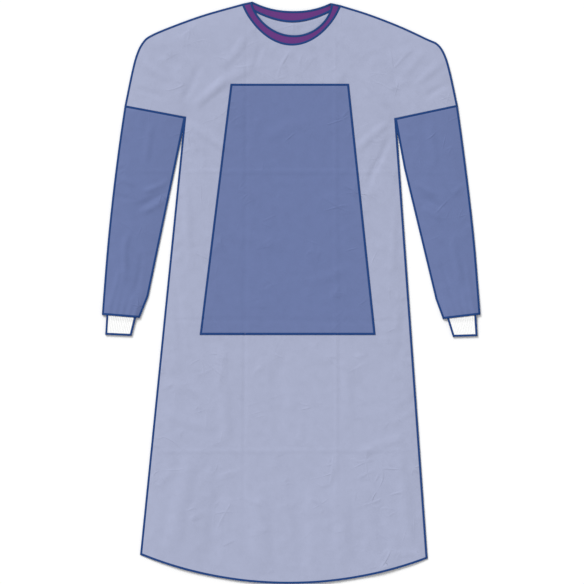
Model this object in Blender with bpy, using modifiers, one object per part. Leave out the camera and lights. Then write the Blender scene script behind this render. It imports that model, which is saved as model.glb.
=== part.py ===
"""Surgical gown, laid flat on its back with the front side up.

Frame: the origin is in the middle of the gown's box, on the surface it lies on.
+X is the wearer's left, +Y runs up to the neck and +Z up off the surface.
All sizes below are in millimetres, and MM turns them into Blender's metres.
Right and left are the wearer's, so every "right" piece lies on the -X side.
"""

from collections import namedtuple
from math import cos, hypot, pi, sin, sqrt

import bmesh
import bpy

MM = 0.001

# Walls and clearances
GAP = 0.3  # between neighbours at a seam, and between cloth lying on cloth
CLOTH = 1.2  # wall of the front, the backs and the sleeves
PANEL = 1.0  # wall of the chest panel
BAND = 1.4  # wall of the folded neck binding
KNIT = 1.5  # wall of a cuff
RIB_HEIGHT = 0.45  # how far a cuff's ribs stand out of its wall
RIBS = 16  # on a cuff's upper side
KNIT_HOLLOW = 0.5  # left between a cuff's two sides

# A tube's upper and lower sides slope together at its edges.
SLEEVE_SLOPE = 0.8
SLEEVE_EDGE_WALL = 1.4
CUFF_SLOPE = 1.4
CUFF_EDGE_WALL = 2.0

# The upper cloth rises from the closed edges and then lies level.
LOFT = 2.0
LOFT_WIDTH = 45.0
MOUTH_LOFT = 4.5  # at a sleeve's mouth, where the cuff fills it
MOUTH_LOFT_WIDTH = 13.0
MOUTH_STARTS = 0.8  # share of the sleeve's length at which it begins to open

# Hem: an arc
HEM_RADIUS = 850.0
HEM_CENTRE_X = -6.0
HEM_LOW = -625.5

# Necklines. The seam lines carry the binding, whose free edges bound the neck.
NECK_HALF_WIDTH = 105.0
FRONT_SEAM_DROP = 87.0
FRONT_SEAM_FULLNESS = 1.25
BACK_SEAM_DROP = 37.0
BACK_SEAM_FULLNESS = 1.85
FREE_HALF_WIDTH = 85.0
FREE_TOP_RIGHT = 625.5
FREE_TOP_LEFT = 622.5
FRONT_FREE_DROP = 70.5
FRONT_FREE_FULLNESS = 1.65
FRONT_FREE_LEAN = 4.0  # to the left, halfway down
BACK_FREE_DROP = 18.5
BACK_FREE_FULLNESS = 2.2

# The two backs lap over each other between x = -LAP_EDGE and x = LAP_EDGE.
LAP_EDGE = 87.0
LAP_RISE_STARTS = -105.0
LAP_RISE_ENDS = -88.0
BAND_LAP_EDGE = 79.0  # where the bindings' free edges end
BAND_RISE_ENDS = -76.0

# The front binding lies over the back ones, and comes down at the shoulders.
FRONT_BAND_BASE = 3.4
FRONT_BAND_END_BASE = 1.9
FRONT_BAND_LEVEL_TO = 92.0

Point = namedtuple("Point", "x y")

# One side's outline. arm runs from the neck over the shoulder tip to the sleeve seam.
Half = namedtuple(
    "Half", "arm tip armpit hem_x sleeve_outer sleeve_inner cuff_outer cuff_inner"
)

RIGHT = Half(
    arm=[
        Point(-105, 621.5),
        Point(-188, 598),
        Point(-259, 572.5),
        Point(-304, 553),
        Point(-321, 538),
        Point(-333.5, 513),
        Point(-344, 474),
        Point(-359, 401),
    ],
    tip=4,
    armpit=Point(-228.5, 376.5),
    hem_x=-323.5,
    sleeve_outer=[
        Point(-359, 401),
        Point(-371, 319),
        Point(-384, 216),
        Point(-395, 112),
        Point(-403.5, 9),
        Point(-407.5, -47.5),
    ],
    sleeve_inner=[Point(-229.5, 376.5), Point(-308, -8), Point(-326.5, -54)],
    cuff_outer=[Point(-400, -90.5), Point(-397.5, -47), Point(-396.5, -35)],
    cuff_inner=[Point(-344.5, -93), Point(-334.5, -53), Point(-332.5, -41)],
)

LEFT = Half(
    arm=[
        Point(105, 618.5),
        Point(168.5, 598.5),
        Point(235.5, 572.5),
        Point(291.5, 546.5),
        Point(315, 535),
        Point(330, 513),
        Point(342, 474),
        Point(357.5, 402),
    ],
    tip=4,
    armpit=Point(223, 373.5),
    hem_x=290.5,
    sleeve_outer=[
        Point(357.5, 402),
        Point(369, 319),
        Point(382, 216),
        Point(393.5, 112),
        Point(402, 9),
        Point(406, -47),
    ],
    sleeve_inner=[Point(224, 373.5), Point(243.5, 267), Point(310, -14), Point(325.5, -56.5)],
    cuff_outer=[Point(399.5, -93.5), Point(397, -48), Point(396, -36)],
    cuff_inner=[Point(347.5, -95), Point(334.5, -53.5), Point(332.5, -41)],
)

# Chest panel's corners
PANEL_TOP = (Point(-130, 448), Point(122.5, 448))
PANEL_FOOT = (Point(-196, -89.5), Point(179.5, -89.5))

# Soft folds that run up from the hem and fade out
Fold = namedtuple("Fold", "hem_x top_x top_y half_width height")
FOLDS = [
    Fold(-232, -200, -190, 55, 1.1),
    Fold(-96, -82, -330, 50, 0.8),
    Fold(58, 52, -250, 58, 1.0),
    Fold(196, 172, -370, 48, 1.2),
]

# Spans of each grid
BODY_SPANS = 28
BODY_ROWS = 14
YOKE_ROWS = 12
SEAM_SPANS = 12
LAP_SPANS = 12
SIDE_SPANS = 12
PANEL_SPANS = 6
PANEL_ROWS = 10
BAND_SPANS = 2
CURVE_STEPS = 6
NECK_STEPS = 60

MERGE_DISTANCE = 0.001  # joins the grids of one sheet
SHARP_ANGLE = pi / 5

SLEEVE_STATIONS = (0, 0.1, 0.2, 0.3, 0.4, 0.5, 0.6, 0.7, 0.8, 0.85, 0.89, 0.93, 0.965, 1)

Colour = namedtuple("Colour", "red green blue roughness")
BODY_CLOTH = Colour(0.40, 0.43, 0.58, 0.85)
PANEL_CLOTH = Colour(0.15, 0.19, 0.39, 0.75)
BINDING = Colour(0.13, 0.04, 0.22, 0.80)
RIB_KNIT = Colour(0.92, 0.92, 0.91, 0.95)


# Curves: each is a function from 0..1 to a Point


def between(a, b, share):
    """The point at this share of the way from a to b."""
    return Point(a.x + (b.x - a.x) * share, a.y + (b.y - a.y) * share)


def straight(a, b):
    return lambda share: between(a, b, share)


def along(points):
    """A curve that follows the points, even in length."""
    lengths = [0.0]
    for a, b in zip(points, points[1:]):
        lengths.append(lengths[-1] + hypot(b.x - a.x, b.y - a.y))

    def place(share):
        wanted = share * lengths[-1]
        for index in range(len(points) - 1):
            if wanted <= lengths[index + 1]:
                break
        run = lengths[index + 1] - lengths[index]
        return between(points[index], points[index + 1], (wanted - lengths[index]) / run)

    return place


def smooth(points):
    """The points of a Catmull-Rom curve through the given ones, CURVE_STEPS to a span."""
    first = between(points[1], points[0], 2)
    last = between(points[-2], points[-1], 2)
    padded = [first, *points, last]
    made = [points[0]]
    for a, b, c, d in zip(padded, padded[1:], padded[2:], padded[3:]):
        for step in range(1, CURVE_STEPS + 1):
            t = step / CURVE_STEPS
            weights = (
                (-t + 2 * t**2 - t**3) / 2,
                (2 - 5 * t**2 + 3 * t**3) / 2,
                (t + 4 * t**2 - 3 * t**3) / 2,
                (t**3 - t**2) / 2,
            )
            made.append(
                Point(
                    sum(w * p.x for w, p in zip(weights, (a, b, c, d))),
                    sum(w * p.y for w, p in zip(weights, (a, b, c, d))),
                )
            )
    return made


def reverse(curve):
    return lambda share: curve(1 - share)


def bunched(curve):
    """The same curve with its even steps drawn together at both ends."""
    return lambda share: curve((1 - cos(pi * share)) / 2)


def hem(x):
    reach = x - HEM_CENTRE_X
    return Point(x, HEM_LOW + HEM_RADIUS - sqrt(HEM_RADIUS**2 - reach**2))


def hem_between(first_x, last_x):
    return lambda share: hem(first_x + (last_x - first_x) * share)


def scoop(out, depth, fullness):
    """How far a front neckline has dropped, out from -1 to 1: steep at its two ends."""
    return depth * max(0.0, 1 - out**2) ** (1 / fullness)


def dish(out, depth, fullness):
    """How far a back neckline has dropped, out from -1 to 1: it only dips."""
    return depth * (1 - abs(out) ** fullness)


def seam_top(x):
    """The shoulder seams end a little higher on the right side than on the left."""
    right, left = RIGHT.arm[0], LEFT.arm[0]
    return between(right, left, (x - right.x) / (left.x - right.x)).y


def free_top(x):
    share = (x + FREE_HALF_WIDTH) / (2 * FREE_HALF_WIDTH)
    return FREE_TOP_RIGHT + (FREE_TOP_LEFT - FREE_TOP_RIGHT) * share


def front_seam(x):
    drop = scoop(x / NECK_HALF_WIDTH, FRONT_SEAM_DROP, FRONT_SEAM_FULLNESS)
    return Point(x, seam_top(x) - drop)


def front_free(x):
    out = x / FREE_HALF_WIDTH
    drop = scoop(out, FRONT_FREE_DROP, FRONT_FREE_FULLNESS)
    lean = FRONT_FREE_LEAN * sqrt(max(0.0, 1 - out**2))
    return Point(x + lean, free_top(x) - drop)


def back_seam(x):
    drop = dish(x / NECK_HALF_WIDTH, BACK_SEAM_DROP, BACK_SEAM_FULLNESS)
    return Point(x, seam_top(x) - drop)


def back_free(x):
    drop = dish(x / FREE_HALF_WIDTH, BACK_FREE_DROP, BACK_FREE_FULLNESS)
    return Point(x, free_top(x) - drop)


def traced(height_at, first_x, last_x):
    """A neckline between two x, even in length."""
    turns = [pi * step / NECK_STEPS for step in range(NECK_STEPS + 1)]
    middle, reach = (first_x + last_x) / 2, (last_x - first_x) / 2
    return along([height_at(middle - reach * cos(turn)) for turn in turns])


# Heights above the surface


def closed_edges():
    """Both sides' edges where the upper cloth is joined to the lower."""
    edges = []
    for half in (RIGHT, LEFT):
        edges.append([half.armpit, hem(half.hem_x)])
        edges.append(smooth(half.arm))
        edges.append(smooth(half.sleeve_outer))
        edges.append(half.sleeve_inner)
    return [pair for edge in edges for pair in zip(edge, edge[1:])]


CLOSED_EDGES = closed_edges()


def reach_from_edges(at):
    """Distance from a point to the nearest closed edge."""
    nearest = LOFT_WIDTH
    for a, b in CLOSED_EDGES:
        run_x, run_y = b.x - a.x, b.y - a.y
        share = ((at.x - a.x) * run_x + (at.y - a.y) * run_y) / (run_x**2 + run_y**2)
        foot = between(a, b, min(1.0, max(0.0, share)))
        nearest = min(nearest, hypot(at.x - foot.x, at.y - foot.y))
    return nearest


def ease(share):
    """0 to 1 with a level start and end."""
    share = min(1.0, max(0.0, share))
    return share * share * (3 - 2 * share)


def fold_height(at):
    height = 0.0
    for fold in FOLDS:
        down = (fold.top_y - at.y) / (fold.top_y - HEM_LOW)
        centre = fold.top_x + (fold.hem_x - fold.top_x) * down
        across = abs(at.x - centre) / fold.half_width
        if down > 0 and across < 1:
            height += fold.height * ease(down) * cos(pi / 2 * across) ** 2
    return height


def upper_base(at):
    """Underside of the front: clear of the backs, closed down at the joined edges."""
    rise = sin(pi / 2 * reach_from_edges(at) / LOFT_WIDTH)
    return CLOTH + GAP + (LOFT + fold_height(at)) * rise


def lap_rise(x):
    """How far the right back has climbed onto the left one, from 0 to 1."""
    return min(1.0, max(0.0, (x - LAP_RISE_STARTS) / (LAP_RISE_ENDS - LAP_RISE_STARTS)))


def front_band_base(at):
    past = (abs(at.x) - FRONT_BAND_LEVEL_TO) / (NECK_HALF_WIDTH - FRONT_BAND_LEVEL_TO)
    drop = FRONT_BAND_BASE - FRONT_BAND_END_BASE
    return FRONT_BAND_BASE - drop * min(1.0, max(0.0, past))


# Modelling


def material(name, colour):
    made = bpy.data.materials.new(name)
    made.use_nodes = True
    shader = made.node_tree.nodes["Principled BSDF"]
    shader.inputs["Base Color"].default_value = (*colour[:3], 1)
    shader.inputs["Roughness"].default_value = colour.roughness
    shader.inputs["Metallic"].default_value = 0
    return made


def named_object(name, bm, collection, finish):
    mesh = bpy.data.meshes.new(name)
    bm.to_mesh(mesh)
    bm.free()
    mesh.materials.append(finish)
    mesh.shade_smooth()
    mesh.set_sharp_from_angle(angle=SHARP_ANGLE)
    made = bpy.data.objects.new(name, mesh)
    collection.objects.link(made)
    return made


def stretch(bm, columns, rows, foot, right, top, left, base):
    """Adds a grid stretched between four curves. foot and top run in +X, the sides in +Y."""
    corners = (foot(0), foot(1), top(0), top(1))
    made = bmesh.ops.create_grid(bm, x_segments=columns, y_segments=rows, size=0.5)
    for vert in made["verts"]:
        u, v = vert.co.x + 0.5, vert.co.y + 0.5
        shares = ((1 - u) * (1 - v), u * (1 - v), (1 - u) * v, u * v)
        sides = ((1 - v, foot(u)), (v, top(u)), (1 - u, left(v)), (u, right(v)))
        at = Point(
            sum(w * p.x for w, p in sides) - sum(w * p.x for w, p in zip(shares, corners)),
            sum(w * p.y for w, p in sides) - sum(w * p.y for w, p in zip(shares, corners)),
        )
        vert.co = (at.x * MM, at.y * MM, base(at) * MM)


def sheet(name, bm, wall, collection, finish):
    """Makes an object of the open surface in bm, with its wall built upwards."""
    bmesh.ops.remove_doubles(bm, verts=bm.verts, dist=MERGE_DISTANCE * MM)
    made = named_object(name, bm, collection, finish)
    solidify = made.modifiers.new("Wall", "SOLIDIFY")
    solidify.thickness = wall * MM
    solidify.offset = 1
    return made


def tube(name, outer, inner, collection, finish):
    """Makes a wall through outer rings and back through inner ones, closed at both ends."""
    bm = bmesh.new()
    rings = []
    for ring in [*outer, *reversed(inner)]:
        rings.append([bm.verts.new((x * MM, y * MM, z * MM)) for x, y, z in ring])
    for ring, following in zip(rings, rings[1:] + rings[:1]):
        count = len(ring)
        for here in range(count):
            there = (here + 1) % count
            bm.faces.new((ring[here], ring[there], following[there], following[here]))
    bmesh.ops.recalc_face_normals(bm, faces=bm.faces)
    return named_object(name, bm, collection, finish)


# Pieces


def shoulder_patch(bm, half, base):
    """The kimono sleeve part: from the slanted sleeve seam up to the shoulder line."""
    outline = smooth(half.arm)
    tip = half.tip * CURVE_STEPS
    shoulder = along(outline[: tip + 1])
    upper_arm = reverse(along(outline[tip:]))
    outer, neck = half.arm[-1], half.arm[0]
    raglan = straight(half.armpit, neck)
    if half is RIGHT:
        seam = bunched(straight(outer, half.armpit))
        stretch(bm, SEAM_SPANS, YOKE_ROWS, seam, raglan, reverse(shoulder), upper_arm, base)
    else:
        seam = bunched(straight(half.armpit, outer))
        stretch(bm, SEAM_SPANS, YOKE_ROWS, seam, upper_arm, shoulder, raglan, base)


def body_and_yoke(bm, columns, low, high, top, base):
    """A strip of body from hem to armpit level, and its yoke up to the curve top.

    low and high are its hem corners' and armpit level's ends: (Point, Point) each.
    """
    foot = hem_between(low[0].x, high[0].x)
    level = straight(low[1], high[1])
    sides = (straight(*high), straight(*low))
    stretch(bm, columns, BODY_ROWS, foot, sides[0], level, sides[1], base)
    sides = (straight(high[1], top(1)), straight(low[1], top(0)))
    stretch(bm, columns, YOKE_ROWS, level, sides[0], top, sides[1], base)


def side_ends(half):
    return hem(half.hem_x), half.armpit


def level_ends(x):
    """The ends at hem and armpit level of a vertical line at x."""
    share = (x - RIGHT.armpit.x) / (LEFT.armpit.x - RIGHT.armpit.x)
    return hem(x), Point(x, between(RIGHT.armpit, LEFT.armpit, share).y)


def make_front(collection, finish):
    bm = bmesh.new()
    neckline = traced(front_seam, -NECK_HALF_WIDTH, NECK_HALF_WIDTH)
    body_and_yoke(bm, BODY_SPANS, side_ends(RIGHT), side_ends(LEFT), neckline, upper_base)
    shoulder_patch(bm, RIGHT, upper_base)
    shoulder_patch(bm, LEFT, upper_base)
    return sheet("front", bm, CLOTH, collection, finish)


def make_back_left(collection, finish):
    """The lower back: it lies on the surface, from the left side to x = -LAP_EDGE."""
    bm = bmesh.new()
    neckline = traced(back_seam, -LAP_EDGE, NECK_HALF_WIDTH)
    columns = LAP_SPANS + SIDE_SPANS
    body_and_yoke(bm, columns, level_ends(-LAP_EDGE), side_ends(LEFT), neckline, lambda at: 0)
    shoulder_patch(bm, LEFT, lambda at: 0)
    return sheet("back_left", bm, CLOTH, collection, finish)


def make_back_right(collection, finish):
    """The upper back: on the surface at the right side, then up onto the left back."""
    bm = bmesh.new()
    starts, ends = level_ends(LAP_RISE_STARTS), level_ends(LAP_RISE_ENDS)
    neck = RIGHT.arm[0]

    def base(at):
        return (CLOTH + GAP) * lap_rise(at.x)

    body_and_yoke(bm, SIDE_SPANS, side_ends(RIGHT), starts, lambda share: neck, base)
    rise = traced(back_seam, LAP_RISE_STARTS, LAP_RISE_ENDS)
    body_and_yoke(bm, 1, starts, ends, rise, base)
    lap = traced(back_seam, LAP_RISE_ENDS, LAP_EDGE)
    body_and_yoke(bm, LAP_SPANS, ends, level_ends(LAP_EDGE), lap, base)
    shoulder_patch(bm, RIGHT, base)
    return sheet("back_right", bm, CLOTH, collection, finish)


def make_chest_panel(collection, finish):
    """It lies on the front, made from the front's own heights moved out."""
    bm = bmesh.new()
    foot, top = straight(*PANEL_FOOT), straight(*PANEL_TOP)
    sides = (straight(PANEL_FOOT[1], PANEL_TOP[1]), straight(PANEL_FOOT[0], PANEL_TOP[0]))

    def base(at):
        return upper_base(at) + CLOTH + GAP

    stretch(bm, PANEL_SPANS, PANEL_ROWS, foot, sides[0], top, sides[1], base)
    return sheet("chest_panel", bm, PANEL, collection, finish)


def make_band(name, stretches, base, collection, finish):
    """A neck binding, through stretches of its seam, its free edge and a number of spans."""
    bm = bmesh.new()
    for seam, free, columns in stretches:

        def clear_of_cloth(share, seam=seam, free=free):
            at, beyond = seam(share), free(share)
            return between(at, beyond, GAP / hypot(beyond.x - at.x, beyond.y - at.y))

        start = straight(clear_of_cloth(0), free(0))
        end = straight(clear_of_cloth(1), free(1))
        stretch(bm, columns, BAND_SPANS, clear_of_cloth, end, free, start, base)
    return sheet(name, bm, BAND, collection, finish)


def sleeve_ring(half, station, inner):
    """One ring of a sleeve: across its upper side from A to B and back underneath."""
    outer_edge, inner_edge = along(smooth(half.sleeve_outer)), along(half.sleeve_inner)
    seam_shift = GAP * (1 - station)
    a, b = outer_edge(station), inner_edge(station)
    a, b = Point(a.x, a.y - seam_shift), Point(b.x, b.y - seam_shift)
    opening = ease((station - MOUTH_STARTS) / (1 - MOUTH_STARTS))
    loft = LOFT + (MOUTH_LOFT - LOFT) * opening
    loft_width = LOFT_WIDTH + (MOUTH_LOFT_WIDTH - LOFT_WIDTH) * opening
    base = CLOTH + GAP
    width = hypot(b.x - a.x, b.y - a.y)
    inset = SLEEVE_SLOPE + (CLOTH if inner else 0)
    edge_inset = SLEEVE_EDGE_WALL if inner else 0

    def upper(share):
        at = between(a, b, share)
        near = min(reach_from_edges(at), loft_width)
        height = base + loft * sin(pi / 2 * near / loft_width)
        return (at.x, at.y, height + (0 if inner else CLOTH))

    def lower(share):
        at = between(a, b, share)
        return (at.x, at.y, CLOTH if inner else 0)

    def edge(share):
        at = between(a, b, share)
        return (at.x, at.y, CLOTH + GAP / 2)

    first, last = inset / width, 1 - inset / width
    shares = [(1 - cos(pi * step / SEAM_SPANS)) / 2 for step in range(SEAM_SPANS + 1)]
    shares = [min(last, max(first, share)) for share in shares]
    ring = [upper(share) for share in shares]
    ring.append(edge(1 - edge_inset / width))
    ring += [lower(share) for share in reversed(shares)]
    ring.append(edge(edge_inset / width))
    return ring


def make_sleeve(name, half, collection, finish):
    outer = [sleeve_ring(half, station, False) for station in SLEEVE_STATIONS]
    inner = [sleeve_ring(half, station, True) for station in SLEEVE_STATIONS]
    return tube(name, outer, inner, collection, finish)


CuffStation = namedtuple("CuffStation", "share lift")
# share runs from the free end to the end inside the sleeve; lift is off the surface
CUFF_STATIONS = [
    CuffStation(0.0, 0.0),
    CuffStation(0.3, 0.0),
    CuffStation(0.55, 0.0),
    CuffStation(0.74, CLOTH + GAP),
    CuffStation(1.0, CLOTH + GAP),
]
CUFF_LOWER_SPANS = 8


def cuff_ring(half, station, inner):
    """One ring of a cuff: ribbed across its upper side, plain underneath and inside."""
    a = along(half.cuff_outer)(station.share)
    b = along(half.cuff_inner)(station.share)
    width = hypot(b.x - a.x, b.y - a.y)
    inset = CUFF_SLOPE + (KNIT if inner else 0)
    edge_inset = CUFF_EDGE_WALL if inner else 0
    first, last = inset / width, 1 - inset / width
    floor = station.lift + (KNIT if inner else 0)
    roof = station.lift + KNIT + KNIT_HOLLOW + (0 if inner else KNIT)
    middle = station.lift + KNIT + KNIT_HOLLOW / 2

    def at(share, height):
        place = between(a, b, share)
        return (place.x, place.y, height)

    ring = []
    steps = 2 * RIBS
    for step in range(steps + 1):
        rib = 0 if inner or step % 2 == 0 else RIB_HEIGHT
        ring.append(at(first + (last - first) * step / steps, roof + rib))
    ring.append(at(1 - edge_inset / width, middle))
    for step in range(CUFF_LOWER_SPANS + 1):
        ring.append(at(last + (first - last) * step / CUFF_LOWER_SPANS, floor))
    ring.append(at(edge_inset / width, middle))
    return ring


def make_cuff(name, half, collection, finish):
    outer = [cuff_ring(half, station, False) for station in CUFF_STATIONS]
    inner = [cuff_ring(half, station, True) for station in CUFF_STATIONS]
    return tube(name, outer, inner, collection, finish)


def make_bands(collection, finish):
    seam = traced(front_seam, -NECK_HALF_WIDTH, NECK_HALF_WIDTH)
    free = traced(front_free, -FREE_HALF_WIDTH, FREE_HALF_WIDTH)
    whole = [(seam, free, BODY_SPANS)]
    make_band("neck_band_front", whole, front_band_base, collection, finish)

    seam = traced(back_seam, -LAP_EDGE, NECK_HALF_WIDTH)
    free = traced(back_free, -BAND_LAP_EDGE, FREE_HALF_WIDTH)
    lower = [(seam, free, LAP_SPANS + SIDE_SPANS)]
    make_band("neck_band_back_left", lower, lambda at: 0, collection, finish)

    def climbing(at):
        return (BAND + GAP) * lap_rise(at.x)

    rise = traced(back_seam, LAP_RISE_STARTS, LAP_RISE_ENDS)
    rise_free = traced(back_free, -FREE_HALF_WIDTH, BAND_RISE_ENDS)
    lap = traced(back_seam, LAP_RISE_ENDS, LAP_EDGE)
    lap_free = traced(back_free, BAND_RISE_ENDS, BAND_LAP_EDGE)
    upper = [(rise, rise_free, 1), (lap, lap_free, LAP_SPANS)]
    make_band("neck_band_back_right", upper, climbing, collection, finish)


def clear_scene():
    for made in list(bpy.data.objects):
        bpy.data.objects.remove(made, do_unlink=True)


def main():
    clear_scene()
    gown = bpy.data.collections.new("surgical_gown")
    bpy.context.scene.collection.children.link(gown)
    body_cloth = material("body_cloth", BODY_CLOTH)
    panel_cloth = material("panel_cloth", PANEL_CLOTH)
    binding = material("binding", BINDING)
    rib_knit = material("rib_knit", RIB_KNIT)

    make_front(gown, body_cloth)
    make_back_left(gown, body_cloth)
    make_back_right(gown, body_cloth)
    make_chest_panel(gown, panel_cloth)
    make_bands(gown, binding)
    for side, half in (("right", RIGHT), ("left", LEFT)):
        make_sleeve(f"sleeve_{side}", half, gown, panel_cloth)
        make_cuff(f"cuff_{side}", half, gown, rib_knit)


main()
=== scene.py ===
# %% [markdown]
# # A surgical gown, laid out flat
# The gown lies on its back with its front up, as it is spread out before it is folded and packed.
# Every piece here is thin cloth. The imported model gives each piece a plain, thick solid, and these
# cells lay a fine shell of cloth into the space of each one, then sew the pieces together.
# The first cell loads that model and keeps its box, because the finished gown has to fit it.

from collections import namedtuple
from math import ceil, copysign, cos, exp, pi, radians, sin, sqrt

import bmesh
import bpy
from mathutils import Matrix, Vector, bvhtree, kdtree, noise


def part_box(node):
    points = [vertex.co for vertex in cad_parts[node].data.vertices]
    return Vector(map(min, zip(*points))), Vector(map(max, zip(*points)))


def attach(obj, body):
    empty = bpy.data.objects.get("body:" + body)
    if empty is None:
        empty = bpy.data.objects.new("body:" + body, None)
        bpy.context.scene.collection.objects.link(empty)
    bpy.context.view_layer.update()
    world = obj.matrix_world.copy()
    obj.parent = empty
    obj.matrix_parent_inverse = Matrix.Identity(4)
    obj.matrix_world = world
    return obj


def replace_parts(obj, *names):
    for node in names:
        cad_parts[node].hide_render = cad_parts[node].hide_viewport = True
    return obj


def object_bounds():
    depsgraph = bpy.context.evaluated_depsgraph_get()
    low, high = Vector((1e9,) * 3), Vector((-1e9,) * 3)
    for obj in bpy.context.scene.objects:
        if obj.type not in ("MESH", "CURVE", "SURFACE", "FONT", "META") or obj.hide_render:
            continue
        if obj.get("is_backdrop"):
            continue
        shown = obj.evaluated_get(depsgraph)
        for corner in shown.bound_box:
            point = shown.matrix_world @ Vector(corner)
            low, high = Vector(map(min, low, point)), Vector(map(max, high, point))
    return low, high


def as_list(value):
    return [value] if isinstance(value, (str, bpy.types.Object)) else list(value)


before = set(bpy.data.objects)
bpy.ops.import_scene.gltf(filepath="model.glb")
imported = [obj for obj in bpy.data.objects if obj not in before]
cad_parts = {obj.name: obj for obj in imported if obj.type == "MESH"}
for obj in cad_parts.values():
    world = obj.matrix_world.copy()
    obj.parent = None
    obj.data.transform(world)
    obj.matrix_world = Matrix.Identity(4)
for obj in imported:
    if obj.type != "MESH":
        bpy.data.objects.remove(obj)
CAD_LOW, CAD_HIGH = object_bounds()
MM = 0.001  # all sizes below are in millimetres; Blender works in metres
print("gown", [round(side / MM, 1) for side in CAD_HIGH - CAD_LOW], "mm")

# %% [markdown]
# ## The camera
# The gown is seen from straight above, so its outline keeps the proportions of its pattern.
# A long lens from far away does that with hardly any perspective: things nearer the lens
# would otherwise look larger. The distance follows from the width that has to fit the view.

# %% The camera
VIEW_WIDTH = 1255.6
VIEW_CENTRE = (1.1, 1.6)
LENS = 200.0
SENSOR = 36.0


def new_object(name, data):
    """An object at the origin that shows this data."""
    made = bpy.data.objects.new(name, data)
    bpy.context.scene.collection.objects.link(made)
    return made


def make_camera():
    lens = bpy.data.cameras.new("above")
    lens.lens = LENS
    lens.sensor_width = SENSOR
    camera = new_object("above", lens)
    distance = VIEW_WIDTH * LENS / SENSOR
    camera.location = Vector((*VIEW_CENTRE, CAD_HIGH.z / MM / 2 + distance)) * MM
    bpy.context.scene.camera = camera
    return distance


print("camera", round(make_camera()), "mm above the gown")

# %% [markdown]
# ## The pattern
# A gown like this has a kimono top: the front and each back are cut in one with the upper part
# of the sleeves, so no seam runs round the armhole. Each side is one table of lines, as points
# from the neck over the shoulder to the wrist, in the model's own frame. Its sign says on which
# hand its inside lies. The sides differ by a few millimetres, as cloth laid out by hand does.

# %% The two sides' outlines
Half = namedtuple("Half", "sign arm armpit hem_x sleeve_outer sleeve_inner cuff_outer cuff_inner")
SHOULDER_TIP = 4  # the point of each arm's line where the shoulder ends and the sleeve begins


def point(x, y):
    return Vector((x, y))


def through(*places):
    return [point(*place) for place in places]


RIGHT = Half(
    sign=1,
    arm=through(
        (-105, 621.5), (-188, 598), (-259, 572.5), (-304, 553),
        (-321, 538), (-333.5, 513), (-344, 474), (-359, 401),
    ),
    armpit=point(-228.5, 376.5),
    hem_x=-323.5,
    sleeve_outer=through(
        (-359, 401), (-371, 319), (-384, 216), (-395, 112), (-403.5, 9), (-407.5, -47.5)
    ),
    sleeve_inner=through((-229.5, 376.5), (-308, -8), (-326.5, -54)),
    cuff_outer=through((-400, -90.5), (-397.5, -47), (-396.5, -35)),
    cuff_inner=through((-344.5, -93), (-334.5, -53), (-332.5, -41)),
)
LEFT = Half(
    sign=-1,
    arm=through(
        (105, 618.5), (168.5, 598.5), (235.5, 572.5), (291.5, 546.5),
        (315, 535), (330, 513), (342, 474), (357.5, 402),
    ),
    armpit=point(223, 373.5),
    hem_x=290.5,
    sleeve_outer=through(
        (357.5, 402), (369, 319), (382, 216), (393.5, 112), (402, 9), (406, -47)
    ),
    sleeve_inner=through((224, 373.5), (243.5, 267), (310, -14), (325.5, -56.5)),
    cuff_outer=through((399.5, -93.5), (397, -48), (396, -36)),
    cuff_inner=through((347.5, -95), (334.5, -53.5), (332.5, -41)),
)
SIDES = {"right": RIGHT, "left": LEFT}
print("widest at the sleeves:", RIGHT.sleeve_outer[-1].x, "to", LEFT.sleeve_outer[-1].x, "mm")

# %% [markdown]
# ## Curves
# A pattern cutter draws with a few points and a flexible rule. `smooth` is that rule: a
# Catmull-Rom curve, which passes through its points. `along` walks a line at an even pace, and
# `inset` moves a line sideways, which is how the edge bindings find their place.

# %% Drawing curves
CURVE_STEPS = 6
SHARPEST = 0.45  # keeps the sideways direction at a very sharp corner from growing without end


def straight(a, b):
    return lambda share: a.lerp(b, share)


def reverse(curve):
    return lambda share: curve(1 - share)


def weighed(pairs):
    """The sum of some points, each times its weight."""
    return sum((weight * at for weight, at in pairs), point(0, 0))


def smooth(points):
    """Points of a Catmull-Rom curve through the given ones, CURVE_STEPS to a span."""
    padded = [points[1].lerp(points[0], 2), *points, points[-2].lerp(points[-1], 2)]
    made = [points[0]]
    for a, b, c, d in zip(padded, padded[1:], padded[2:], padded[3:]):
        for step in range(1, CURVE_STEPS + 1):
            t = step / CURVE_STEPS
            weights = (
                (-t + 2 * t**2 - t**3) / 2,
                (2 - 5 * t**2 + 3 * t**3) / 2,
                (t + 4 * t**2 - 3 * t**3) / 2,
                (t**3 - t**2) / 2,
            )
            made.append(weighed(zip(weights, (a, b, c, d))))
    return made


def reach(points):
    """The line's length from its start to each of its points."""
    lengths = [0.0]
    for a, b in zip(points, points[1:]):
        lengths.append(lengths[-1] + (b - a).length)
    return lengths


def length(points):
    return reach(points)[-1]


def along(points):
    """A curve that follows the points at an even pace."""
    lengths = reach(points)

    def place(share):
        wanted = share * lengths[-1]
        index = 0
        while index < len(points) - 2 and wanted > lengths[index + 1]:
            index += 1
        run = lengths[index + 1] - lengths[index]
        return points[index].lerp(points[index + 1], (wanted - lengths[index]) / run)

    return place


def spaced(points, step):
    """The same line with its points about this far apart."""
    count = max(2, ceil(length(points) / step))
    curve = along(points)
    return [curve(index / count) for index in range(count + 1)]


def sideways(points, closed=False):
    """At each point, the direction to the line's left, longer where two runs meet in a corner."""
    count = len(points)
    made = []
    for index, at in enumerate(points):
        before = points[index - 1] if index or closed else at
        after = points[(index + 1) % count] if index < count - 1 or closed else at
        runs = [run for run in (at - before, after - at) if run.length]
        mean = sum((run.orthogonal().normalized() for run in runs), point(0, 0)) / len(runs)
        made.append(mean / max(mean.length_squared, SHARPEST))
    return made


def inset(points, distance, closed=False):
    """The line moved to its left by this distance."""
    return [at + side * distance for at, side in zip(points, sideways(points, closed))]


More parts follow.
